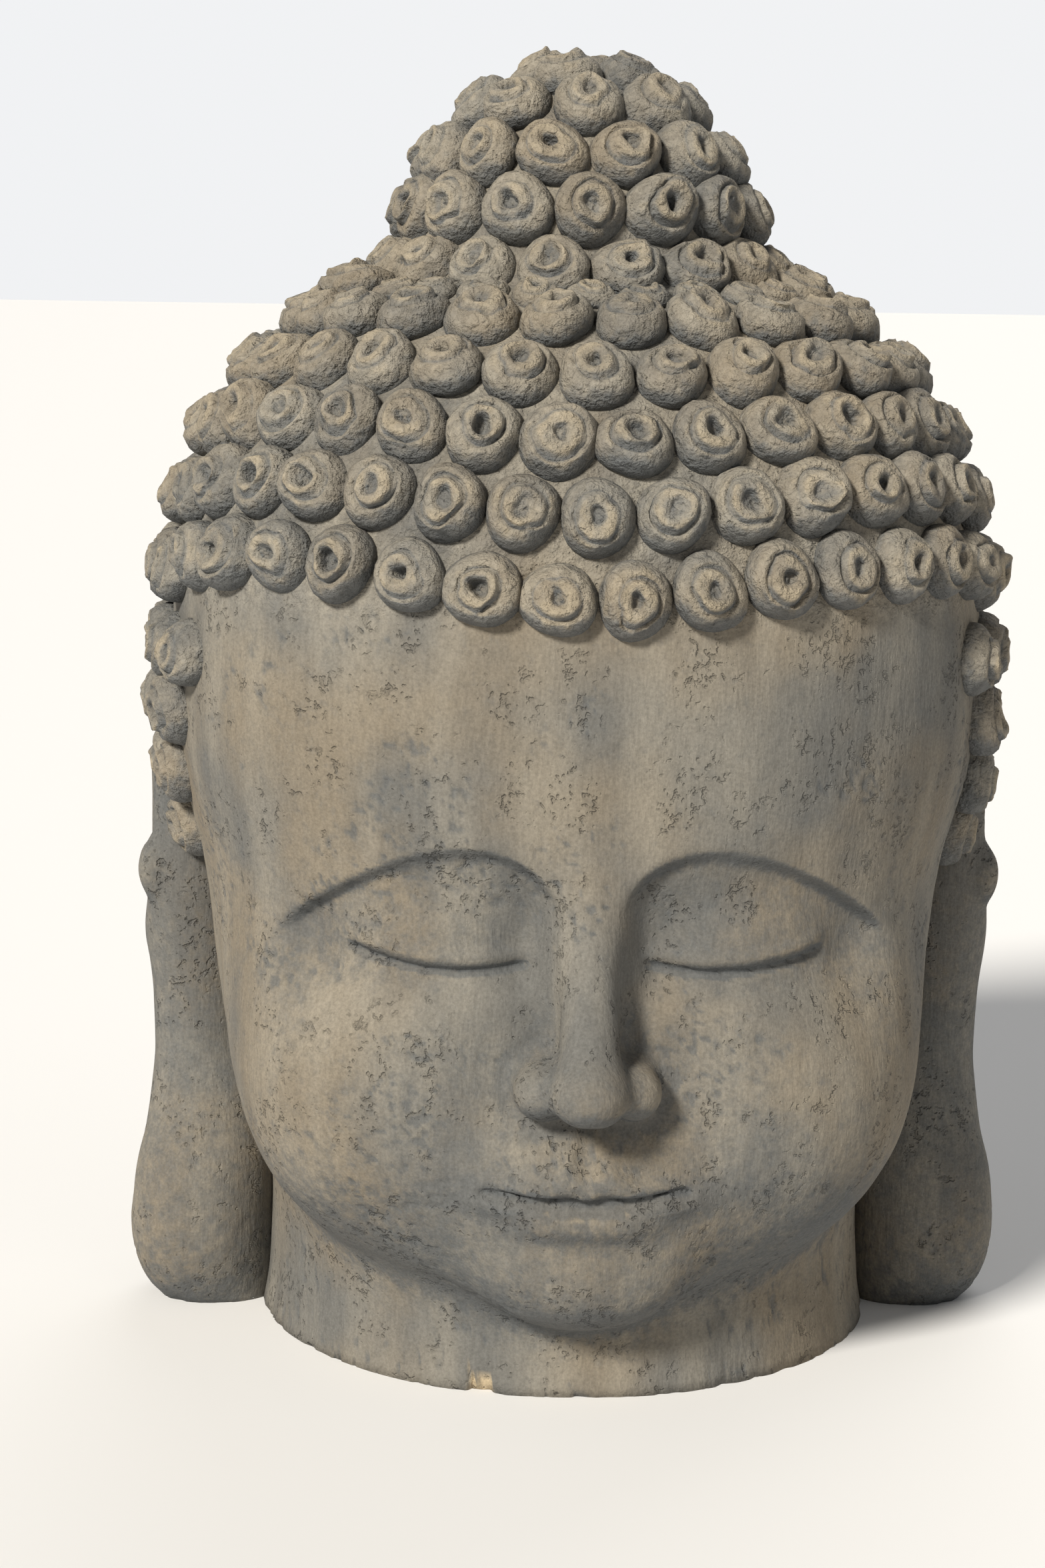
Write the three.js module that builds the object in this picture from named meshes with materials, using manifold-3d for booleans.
// A cast stone Buddha head on a short neck, with snail-shell curls, a topknot dome and long ear lobes.
// Millimetres. +Z is up, the face looks along -Y, and the origin is the middle of the flat underside.
import * as THREE from "three";
import { mergeVertices } from "three/addons/utils/BufferGeometryUtils.js";
import Module from "manifold-3d";

const wasm = await Module();
wasm.setup();

const FULL_TURN = 2 * Math.PI;

// Driving dimensions.
const HEIGHT = 720; // underside to the top of the highest curl
const CURL_PITCH = 38; // middle to middle of two curls in a row
const CURL_RISE = 17; // how far a curl stands out of the scalp
const SCALP_TOP = HEIGHT - CURL_RISE;
const HAIRLINE = 432; // middle of the lowest row of curls over the forehead
const CHIN = 45; // lowest point of the chin
const FACE_THIRD = (HAIRLINE - 16 - CHIN) / 3; // hair to brow, brow to nose and nose to chin are alike
const BROW = CHIN + 2 * FACE_THIRD;
const NOSE_BASE = CHIN + FACE_THIRD;
const MOUTH = NOSE_BASE - 0.36 * FACE_THIRD;
const EYE = BROW - 0.36 * FACE_THIRD;
const EYE_OUT = 76; // middle of an eye from the middle of the face
const SKULL = { centre: [0, 8, 384], half: [228, 226, 223] };
const TOPKNOT = { centre: [0, 2, 575], half: [98, 100, SCALP_TOP - 575] };
const FACE = { centre: [0, -22, 292], half: [203, 191, 238] };
const NECK_RADIUS = 172;
const NECK_TOP = 150; // the neck is lost inside the head above this
const TEMPLE = [
  [300, 73],
  [326, 70],
  [351, 66],
  [380, 61],
  [400, 57],
]; // height, and degrees round from the middle of the face, where the side hair begins
const EAR = { front: 86, back: 106, top: 366 }; // degrees round, and the height that the curls keep above
const CURL_FACE = 15; // radius of a curl's outer rim
const CURL_SIDES = 5;
const CURL_PIT = 7; // depth of the hollow inside the rim of a curl that lies before the ears
const EDGE_SINK = 8; // how far the hair's edge is drawn into the head
const LINE_EDGE = 18; // from the middle of the lowest row to the hair's edge
const CROWN_EDGE = 10.5; // from the middle of the highest row to the edge of the crown's one curl
const KNOT_GAP = 0.3; // partings closer than this share of a curl's width are one
const SCALP_SINK = 12; // how far the scalp is drawn in under the curls
const SLACK = 3.0; // how far the head's faces may stand off its true form
const FACE_SLACK = 1.4; // the same for the eyes and the mouth
const FACE_FRONT = -140; // eyes and mouth lie before this
const LINE_REACH = 26; // above and below the middle of the eyes or mouth
const HIDDEN_SLACK = 5; // the same under the hair, where the curls hide the head
const EAR_SLACK = 2.5; // the same for the ears
const LONGEST_SETTLE = 25; // a point that would slide further than this is found by a ray instead

const COLOUR = new THREE.MeshStandardMaterial({
  name: "cast_stone",
  color: new THREE.Color(0.33, 0.31, 0.28),
  roughness: 0.85,
  metalness: 0,
});

// Rounded forms as distance-like fields: negative inside, about a millimetre per unit near the surface.
function blob(p, centre, half, power = 2) {
  const q = p.map((value, i) => Math.abs(value - centre[i]) / half[i]);
  const sum = q.reduce((total, value) => total + value ** power, 0);
  return (sum ** (1 / power) - 1) * Math.min(...half);
}

// A rod from a to b whose radius runs from one value to another.
function rod(p, a, b, radiusA, radiusB) {
  const ab = b.map((value, i) => value - a[i]);
  const ap = p.map((value, i) => value - a[i]);
  const along = ap.reduce((sum, value, i) => sum + value * ab[i], 0);
  const t = THREE.MathUtils.clamp(along / ab.reduce((sum, value) => sum + value * value, 0), 0, 1);
  const away = Math.hypot(...ap.map((value, i) => value - t * ab[i]));
  return away - THREE.MathUtils.lerp(radiusA, radiusB, t);
}

// Joins two fields with a fillet of about the given width.
function join(a, b, width) {
  const h = Math.max(width - Math.abs(a - b), 0) / width;
  return Math.min(a, b) - (h * h * width) / 4;
}

// Cuts field b out of field a with a fillet.
function carve(a, b, width) {
  return -join(-a, b, width);
}

// Runs smoothly from 0 to 1 as t does.
function ease(t) {
  const s = THREE.MathUtils.clamp(t, 0, 1);
  return s * s * (3 - 2 * s);
}

function hump(value, middle, width) {
  return Math.exp(-(((value - middle) / width) ** 2));
}

function neckField([x, y, z]) {
  const side = Math.hypot(x, y) - NECK_RADIUS - 5 * Math.exp(-Math.max(z, 0) / 14) + 0.02 * z;
  return Math.max(side, z - NECK_TOP);
}

// A point as a form sees it that runs straight back into the head from its front.
function deepened([x, y, z], front, depth = 50) {
  return [x, y < front ? y : Math.max(front, y - depth), z];
}

// Height of the brow's edge, at a distance from the middle of the face.
function browLine(x) {
  const t = (x - 14) / 150;
  const arch = Math.sin(Math.PI * THREE.MathUtils.clamp(t, 0, 1) ** 0.72) ** 0.9;
  return BROW - 18 + 34 * arch - 18 * THREE.MathUtils.clamp(t, 0, 2) ** 2;
}

// The face, worked out for one side because both halves match.
function faceField([across, y, z]) {
  const x = Math.abs(across);
  const p = [x, y, z];
  let f = blob(p, FACE.centre, FACE.half, 2.35);
  f = join(f, blob(p, [0, -132, CHIN + 62], [92, 86, 62], 2.3), 58); // jaw
  f = join(f, blob(p, [96, -112, NOSE_BASE - 2], [84, 88, 92]), 46); // cheek
  const drop = browLine(x) - z;
  const sides = ease((x - 12) / 26) * ease((172 - x) / 50);
  const depth = 15 * (1 + 0.75 * hump(x, 34, 22));
  f += depth * sides * ease(drop / 13) * ease((96 - drop) / 76); // hollow under the brow
  f = join(f, blob(p, [EYE_OUT, -150, EYE + 7], [56, 48.5, 33]), 12); // closed lid
  const bridge = THREE.MathUtils.mapLinear(z, NOSE_BASE + 24, BROW - 2, -239, -196); // its front
  f = join(f, rod(deepened(p, bridge), [0, -196, BROW - 2], [0, -239, NOSE_BASE + 24], 13, 15), 14);
  f = join(f, blob(deepened(p, -241), [0, -241, NOSE_BASE + 16], [20, 21, 17]), 9); // tip
  f = join(f, blob(deepened(p, -222), [24, -222, NOSE_BASE + 13], [14, 18, 14]), 8); // wing
  f = join(f, blob(p, [0, -176, MOUTH + 2], [64, 44, 46]), 22); // mound of the mouth
  f = join(f, blob(p, [0, -213, MOUTH + 5], [53, 19, 10.5], 2.2), 9); // upper lip
  f = join(f, blob(p, [0, -211, MOUTH - 12], [39, 20, 12.5], 2.2), 9); // lower lip
  const mouthLine = MOUTH - 1.5 + 3 * ease(x / 56);
  f += 4 * hump(z, mouthLine, 5) * ease((58 - x) / 14) * ease((-y - 150) / 20);
  f = join(f, blob(p, [0, -186, CHIN + 27], [40, 31, 26]), 26); // chin
  // The line of the closed eye sags in its middle.
  const reach = (x - EYE_OUT) / 50;
  const eyeLine = EYE - 9 + 7 * reach ** 2 + 3 * reach;
  return f + 3.6 * hump(z, eyeLine, 4.5) * ease((1.02 - Math.abs(reach)) / 0.3);
}

function headField(p) {
  let f = blob(p, SKULL.centre, SKULL.half, 2.38);
  f = join(f, faceField(p), 12);
  f = join(f, blob(p, [0, 30, 215], [192, 180, 190], 2.4), 40); // back of the jaw and nape
  f = join(f, neckField(p), 20);
  return join(f, blob(p, TOPKNOT.centre, TOPKNOT.half, 2.1), 18);
}

// One ear, on the side where x is positive: a fat hanging lobe, a stem and a hollowed upper shell.
function earField(p) {
  let f = blob(p, [215, 4, 46], [39, 44, 54], 2.2); // lobe
  f = join(f, rod(p, [190, 8, -20], [200, 10, 110], 24, 24), 24); // web from the lobe to the neck
  f = join(f, rod(p, [211, 6, 90], [215, 14, 240], 31, 25), 30); // stem
  f = join(f, blob(p, [219, 20, 282], [27, 45, 80], 2.3), 26); // shell
  f = carve(f, blob(p, [255, 18, 276], [17, 24, 52]), 9); // hollow
  return carve(f, rod(p, [256, 4, 64], [250, 12, 196], 10, 8), 8); // slit down the lobe
}

// Degrees round from the face where the hair begins, at a height.
function templeAt(z) {
  const last = TEMPLE.at(-1);
  if (z >= last[0]) return last[1];
  const next = Math.max(1, TEMPLE.findIndex(([height]) => height > z));
  const [z0, a0] = TEMPLE[next - 1];
  const [z1, a1] = TEMPLE[next];
  return THREE.MathUtils.mapLinear(Math.max(z, TEMPLE[0][0]), z0, z1, a0, a1);
}

// The scalp under the curls is drawn in, so that their valleys lie clear of it.
function sink(p) {
  return p.clone().sub(HEART).multiplyScalar(1 - SCALP_SINK / p.distanceTo(HEART)).add(HEART);
}

// Whether a point of the scalp is hidden by curls: past the hair's edge by more than the edge's own row.
function underHair(p) {
  const degrees = Math.abs(THREE.MathUtils.radToDeg(Math.atan2(p.x, -p.y)));
  if (p.z > HAIRLINE + 24) return true;
  if (p.z > EAR.top + 8) return degrees > templeAt(p.z) + 10;
  return p.z > LOW_ROWS[0] && degrees > EAR.back + 8;
}

const HEART = new THREE.Vector3(0, 0, 300); // the rays that find the head's surface start here
const REACH = 460; // longer than any of those rays

// The point where a ray from inside leaves a field.
function leave(field, start, direction, reach = REACH) {
  let near = 0;
  let far = reach;
  for (let step = 0; step < 24; step++) {
    const middle = (near + far) / 2;
    const p = start.clone().addScaledVector(direction, middle);
    if (field(p.toArray()) < 0) near = middle;
    else far = middle;
  }
  return start.clone().addScaledVector(direction, near);
}

// The direction at an angle round from the face and an angle up from level, in radians.
function directionOf(around, up) {
  return new THREE.Vector3(
    Math.sin(around) * Math.cos(up),
    -Math.cos(around) * Math.cos(up),
    Math.sin(up),
  );
}

// A skin over rows of points, closed at the top by a fan and open at the foot. The last column meets the
// first, and the faces of the two halves mirror each other.
function skinOver(rows, top) {
  const wide = rows[0].length;
  const points = [...rows.flat(), top];
  const at = (r, c) => r * wide + (c % wide);
  const faces = [];
  for (let c = 0; c < wide; c++) {
    for (let r = 0; r + 1 < rows.length; r++) {
      const [a, b, d, e] = [at(r, c), at(r, c + 1), at(r + 1, c + 1), at(r + 1, c)];
      if (c < wide / 2) faces.push([a, b, d], [a, d, e]);
      else faces.push([a, b, e], [b, d, e]);
    }
    faces.push([at(rows.length - 1, c), at(rows.length - 1, c + 1), points.length - 1]);
  }
  return { points, faces };
}

// How a field grows at a point.
function slopeAt(field, p) {
  const step = 1;
  const grows = (x, y, z) => {
    const more = field([p.x + x, p.y + y, p.z + z]);
    return (more - field([p.x - x, p.y - y, p.z - z])) / (2 * step);
  };
  return new THREE.Vector3(grows(step, 0, 0), grows(0, step, 0), grows(0, 0, step));
}

// Brings a point onto the surface of a field along the field's slope, or along a ray from a core inside it
// where the slope leads nowhere. A point of the underside stays level.
function settle(field, coreOf, p) {
  const q = p.clone();
  for (let step = 0; step < 6; step++) {
    const slope = slopeAt(field, q);
    if (p.z < 1e-3) slope.z = 0;
    q.addScaledVector(slope, -field(q.toArray()) / Math.max(slope.lengthSq(), 0.1));
  }
  if (Math.abs(field(q.toArray())) < 0.02 && q.distanceTo(p) < LONGEST_SETTLE) return q;
  const core = coreOf(p);
  return leave(field, core, p.clone().sub(core).normalize());
}

// Splits the edges of a skin until it follows the surface of a field. slack is how far an edge may stand off
// it at a point. A face with a split edge has its longest edge split too.
function follow({ points, faces }, field, coreOf, slack, rounds = 12) {
  const name = (a, b) => Math.min(a, b) + "," + Math.max(a, b);
  const along = (a, b, t) => points[a].clone().lerp(points[b], t);
  const strays = (a, b) =>
    [0.25, 0.5, 0.75].some((t) => {
      const p = along(a, b, t);
      return Math.abs(field(p.toArray())) > slack(p) * slopeAt(field, p).length();
    });
  const measured = new Map();
  for (let round = 0; round < rounds; round++) {
    const split = new Set();
    const edgesOf = ([a, b, c]) => [[a, b], [b, c], [c, a]];
    for (const face of faces)
      for (const [a, b] of edgesOf(face)) {
        const edge = name(a, b);
        if (!measured.has(edge)) measured.set(edge, strays(a, b));
        if (measured.get(edge)) split.add(edge);
      }
    if (!split.size) break;
    // Each face is turned so that its longest edge comes first.
    faces = faces.map(([a, b, c]) => {
      const [ab, bc, ca] = edgesOf([a, b, c]).map(([p, q]) => points[p].distanceTo(points[q]));
      if (ab >= bc && ab >= ca) return [a, b, c];
      return bc >= ca ? [b, c, a] : [c, a, b];
    });
    for (let before = 0; before < split.size; ) {
      before = split.size;
      for (const face of faces) {
        const [first, ...others] = edgesOf(face).map(([a, b]) => name(a, b));
        if (others.some((edge) => split.has(edge))) split.add(first);
      }
    }
    const middles = new Map();
    const middle = (a, b) => {
      const edge = name(a, b);
      if (!middles.has(edge)) middles.set(edge, points.push(settle(field, coreOf, along(a, b, 0.5))) - 1);
      return middles.get(edge);
    };
    faces = faces.flatMap(([a, b, c]) => {
      if (!split.has(name(a, b))) return [[a, b, c]];
      const m = middle(a, b);
      const left = split.has(name(c, a)) ? [[a, m, middle(c, a)], [middle(c, a), m, c]] : [[a, m, c]];
      const right = split.has(name(b, c)) ? [[m, b, middle(b, c)], [m, middle(b, c), c]] : [[m, b, c]];
      return [...left, ...right];
    });
  }
  return { points, faces };
}

// The edges of a skin that have a face on one side only.
function rimOf(faces) {
  const edges = new Map();
  for (const [a, b, c] of faces)
    for (const [p, q] of [[a, b], [b, c], [c, a]]) edges.set(p + "," + q, [p, q]);
  return [...edges.values()].filter(([a, b]) => !edges.has(b + "," + a));
}

// Joins the open rim of a skin to a point.
function closeRim({ points, faces }, point) {
  const fan = rimOf(faces).map(([a, b]) => [b, a, points.length]);
  return new THREE.BufferGeometry()
    .setFromPoints([...points, point])
    .setIndex([...faces, ...fan].flat());
}

// The head's first skin is a grid that is closer round the nose. Degrees round from the face and above level.
const HEAD_SIDES = [0, 3.2, 6.5, 10, 15, 23, 33, 46, 62, 80, 100, 125, 152];
const HEAD_RISE = [-59, -48, -40, -34, -30, -26, -22, -18, -13, -6, 4, 18, 36, 66];

// The head follows its field closely where it shows and loosely under the hair, where the curls hide it.
function headGeometry() {
  const sides = [...HEAD_SIDES, 180, ...HEAD_SIDES.slice(1).reverse().map((a) => 360 - a)];
  const around = sides.map(THREE.MathUtils.degToRad);
  const foot = new THREE.Vector3(0, 0, 0);
  const top = leave(headField, HEART, new THREE.Vector3(0, 0, 1));
  const rim = around.map((a) => leave(headField, foot, directionOf(a, 0)));
  const rows = HEAD_RISE.map((rise) => {
    const up = THREE.MathUtils.degToRad(rise);
    return around.map((a) => leave(headField, HEART, directionOf(a, up)));
  });

  const onEyes = ({ x, z }) => Math.abs(z - EYE) < LINE_REACH && Math.abs(x) < EYE_OUT + 50;
  const onMouth = ({ x, z }) => Math.abs(z - MOUTH) < LINE_REACH && Math.abs(x) < 70;
  const slack = (p) => {
    if (underHair(p)) return HIDDEN_SLACK;
    return p.y < FACE_FRONT && (onEyes(p) || onMouth(p)) ? FACE_SLACK : SLACK;
  };
  const skin = follow(skinOver([rim, ...rows], top), headField, () => HEART, slack);
  for (const p of skin.points) if (underHair(p)) p.copy(sink(p));
  return closeRim(skin, foot);
}

const EAR_SIDES = 8;
const EAR_ROWS = 7;
const EAR_SPINE_TOP = 322;
const EAR_REACH = 120; // longer than any ray from the spine

// An ear is found by rays from a nearly upright spine inside it. The rays are level up to the spine's top.
function earGeometry(sign) {
  const spine = (z) => new THREE.Vector3(208 + 0.04 * z, 4 + 0.05 * z, z);
  const coreOf = (p) => spine(Math.min(p.z, EAR_SPINE_TOP));
  const rows = Array.from({ length: EAR_ROWS }, (_, r) =>
    Array.from({ length: EAR_SIDES }, (_, c) => {
      const out = directionOf((FULL_TURN * (c + 0.5)) / EAR_SIDES, 0);
      return leave(earField, spine((EAR_SPINE_TOP * r) / (EAR_ROWS - 1)), out, EAR_REACH);
    }),
  );
  const top = leave(earField, spine(EAR_SPINE_TOP), new THREE.Vector3(0, 0, 1), EAR_REACH);
  const skin = follow(skinOver(rows, top), earField, coreOf, () => EAR_SLACK);
  const geometry = closeRim(skin, spine(0));
  if (sign > 0) return geometry;
  const index = geometry.index.array;
  for (let i = 0; i < index.length; i += 3) [index[i], index[i + 1]] = [index[i + 1], index[i]];
  return geometry.scale(-1, 1, 1);
}

// A three.js geometry as a manifold-3d solid, and back.
function solidOf(geometry) {
  const bare = new THREE.BufferGeometry();
  bare.setAttribute("position", geometry.getAttribute("position"));
  if (geometry.index) bare.setIndex(geometry.index);
  const merged = mergeVertices(bare, 1e-3);
  const index = merged.index.array;
  const kept = [];
  for (let i = 0; i < index.length; i += 3) {
    const [a, b, c] = index.slice(i, i + 3);
    if (a !== b && b !== c && c !== a) kept.push(a, b, c);
  }
  return new wasm.Manifold(
    new wasm.Mesh({
      numProp: 3,
      vertProperties: new Float32Array(merged.attributes.position.array),
      triVerts: new Uint32Array(kept),
    }),
  );
}

function geometryOf(solid) {
  const mesh = solid.getMesh();
  const geometry = new THREE.BufferGeometry();
  geometry.setAttribute("position", new THREE.BufferAttribute(mesh.vertProperties, 3));
  geometry.setIndex(new THREE.BufferAttribute(mesh.triVerts, 1));
  geometry.computeVertexNormals();
  return geometry;
}

// The curls, row by row from the nape to the crown. A row is one or more arcs of cells, a curl to a cell.
// Angles run in degrees round from the face, from 0 to 360.
const LOW_ROWS = [76, 111, 146, 181, 216, 251, 286, 321, 356, 391];
const SKULL_ROWS = [HAIRLINE, 469, 505, 536, 561];
const LEDGE = { height: 580, front: 58 }; // a row round the foot of the topknot, open over the brow
const TOPKNOT_ROWS = [600, 630, 658, 683];
const SIDE_HAIR_END = 286; // the lowest curl in front of an ear

function scalpAt(degrees, z) {
  const inside = new THREE.Vector3(0, 8, z);
  return leave(headField, inside, directionOf(THREE.MathUtils.degToRad(degrees), 0));
}

// The height of a row at an angle: the lowest rows of the skull lift at the temples and dip over the brow.
function rowHeight(row, degrees) {
  const off = Math.min(degrees, 360 - degrees);
  const lift = Math.max(0, 16 - 4 * (row.index - LOW_ROWS.length));
  if (row.index < LOW_ROWS.length) return row.z;
  return row.z + lift * ease(off / 38) * ease((75 - off) / 22);
}

// The angles that part an arc into cells one curl pitch wide. More adds a cell, to stagger the rows.
function partings(row, from, to, more = 0) {
  const steps = 120;
  const walk = [[0, from]];
  let last = scalpAt(from, rowHeight(row, from));
  for (let i = 1; i <= steps; i++) {
    const angle = from + ((to - from) * i) / steps;
    const p = scalpAt(angle, rowHeight(row, angle));
    walk.push([walk.at(-1)[0] + p.distanceTo(last), angle]);
    last = p;
  }
  const length = walk.at(-1)[0];
  const count = Math.max(1, Math.round(length / CURL_PITCH) + more);
  return Array.from({ length: count + 1 }, (_, i) => {
    const want = (i / count) * length;
    const next = Math.max(1, walk.findIndex(([reached]) => reached >= want - 1e-6));
    const [l0, a0] = walk[next - 1];
    const [l1, a1] = walk[next];
    return THREE.MathUtils.mapLinear(want, l0, l1, a0, a1);
  });
}

function curlRows() {
  const heights = [...LOW_ROWS, ...SKULL_ROWS, LEDGE.height, ...TOPKNOT_ROWS];
  return heights.map((z, index) => {
    const row = { z, index };
    const temple = templeAt(z);
    const odd = index % 2;
    if (z === LEDGE.height) return { ...row, arcs: [partings(row, LEDGE.front, 360 - LEDGE.front)] };
    if (z >= HAIRLINE) {
      const ring = partings(row, 0, 360);
      const shift = odd ? (ring[1] - ring[0]) / 2 : 0;
      return { ...row, arcs: [ring.map((a) => a + shift)], closed: true };
    }
    if (z > EAR.top) return { ...row, arcs: [partings(row, temple, 360 - temple, odd)] };
    const back = partings(row, EAR.back, 360 - EAR.back, odd);
    if (z < SIDE_HAIR_END) return { ...row, arcs: [back] };
    const side = partings(row, temple, EAR.front);
    return { ...row, arcs: [side, back, side.map((a) => 360 - a).reverse()] };
  });
}

// Partings of two rows that nearly meet on the line between them are one knot of it.
function knotsOf(rows) {
  const turns = rows.flatMap((row) => row.arcs.flat().map((a) => (row.closed ? a % 360 : a)));
  const widths = rows.flatMap((row) => row.arcs.map((arc) => arc[1] - arc[0]));
  const knots = [];
  for (const turn of turns.sort((a, b) => a - b))
    if (!knots.length || turn - knots.at(-1) > KNOT_GAP * Math.min(...widths)) knots.push(turn);
  return knots.map((angle) => ({ angle, id: null }));
}

// The skin of all the curls as one closed shell, whose rim is drawn in to a point inside the head.
function hairGeometry() {
  const rows = curlRows();
  const points = [];
  const faces = [];
  // Line k lies under row k. It carries the partings of the rows on both sides of it.
  const lines = Array.from({ length: rows.length + 1 }, (_, k) => {
    return knotsOf([rows[k - 1], rows[k]].filter(Boolean));
  });
  const lineHeight = (k, angle) => {
    if (k === 0) return rowHeight(rows[0], angle) - LINE_EDGE;
    if (k === rows.length) return rowHeight(rows.at(-1), angle) + CROWN_EDGE;
    return (rowHeight(rows[k - 1], angle) + rowHeight(rows[k], angle)) / 2;
  };
  const idOf = (k, knot) => {
    if (knot.id === null) {
      knot.id = points.length;
      const p = scalpAt(knot.angle, lineHeight(k, knot.angle));
      points.push(p);
    }
    return knot.id;
  };
  const nearest = (k, angle) => {
    const gap = (knot) => Math.abs(((knot.angle - angle + 540) % 360) - 180);
    return lines[k].reduce((best, knot, i) => (gap(knot) < gap(lines[k][best]) ? i : best), 0);
  };
  const between = (k, from, to) => {
    const first = nearest(k, from);
    const last = nearest(k, to);
    const wide = lines[k].length;
    const steps = (last - first + wide) % wide;
    return Array.from({ length: steps + 1 }, (_, i) => idOf(k, lines[k][(first + i) % wide]));
  };
  // A curl's rim is a regular polygon. Its corners are joined in turn to those of the curl's cell.
  const addCell = (cell, centre, pitted) => {
    const out = slopeAt(headField, centre).normalize();
    const across = points[cell[0]].clone().sub(centre).projectOnPlane(out).normalize();
    const up = out.clone().cross(across);
    const corner = (a, radius, rise) => {
      const p = centre.clone().addScaledVector(out, rise).addScaledVector(across, radius * Math.cos(a));
      return points.push(p.addScaledVector(up, radius * Math.sin(a))) - 1;
    };
    const turns = cell.map((id, i) => {
      const way = points[id].clone().sub(centre);
      return i ? (Math.atan2(way.dot(up), way.dot(across)) + FULL_TURN) % FULL_TURN : 0;
    });
    turns.push(FULL_TURN);
    const step = FULL_TURN / CURL_SIDES;
    const rim = Array.from({ length: CURL_SIDES }, (_, j) => corner(j * step, CURL_FACE, CURL_RISE));
    for (let i = 0, j = 0; i < cell.length || j < CURL_SIDES; ) {
      const outer = cell[i % cell.length];
      const inner = rim[j % CURL_SIDES];
      const cellNext = i < cell.length && turns[i] + turns[i + 1] <= (2 * j + 1) * step;
      if (cellNext || j === CURL_SIDES) faces.push([outer, cell[++i % cell.length], inner]);
      else faces.push([outer, rim[++j % CURL_SIDES], inner]);
    }
    if (pitted) {
      const pit = corner(0, 0, CURL_RISE - CURL_PIT);
      rim.forEach((id, j) => faces.push([id, rim[(j + 1) % CURL_SIDES], pit]));
    } else {
      for (let j = 2; j < CURL_SIDES; j++) faces.push([rim[0], rim[j - 1], rim[j]]);
    }
  };
  rows.forEach((row, k) => {
    for (const arc of row.arcs)
      for (let i = 0; i + 1 < arc.length; i++) {
        const under = between(k, arc[i], arc[i + 1]);
        const over = between(k + 1, arc[i], arc[i + 1]);
        const middle = (arc[i] + arc[i + 1]) / 2;
        const shows = Math.min(middle, 360 - middle) < EAR.front;
        addCell([...under, ...over.reverse()], scalpAt(middle, rowHeight(row, middle)), shows);
      }
  });
  const crown = lines.at(-1).map((knot) => idOf(rows.length, knot));
  addCell(crown, leave(headField, HEART, new THREE.Vector3(0, 0, 1)), true);
  for (const id of new Set(rimOf(faces).flat())) {
    const out = slopeAt(headField, points[id]).normalize();
    points[id].addScaledVector(out, -EDGE_SINK);
  }
  return closeRim({ points, faces }, HEART);
}

const pieces = [headGeometry(), hairGeometry(), earGeometry(1), earGeometry(-1)].map(solidOf);
const whole = wasm.Manifold.union(pieces);

const body = new THREE.Mesh(geometryOf(whole), COLOUR);
body.name = "buddha_head";
const model = new THREE.Group();
model.add(body);
export default model;
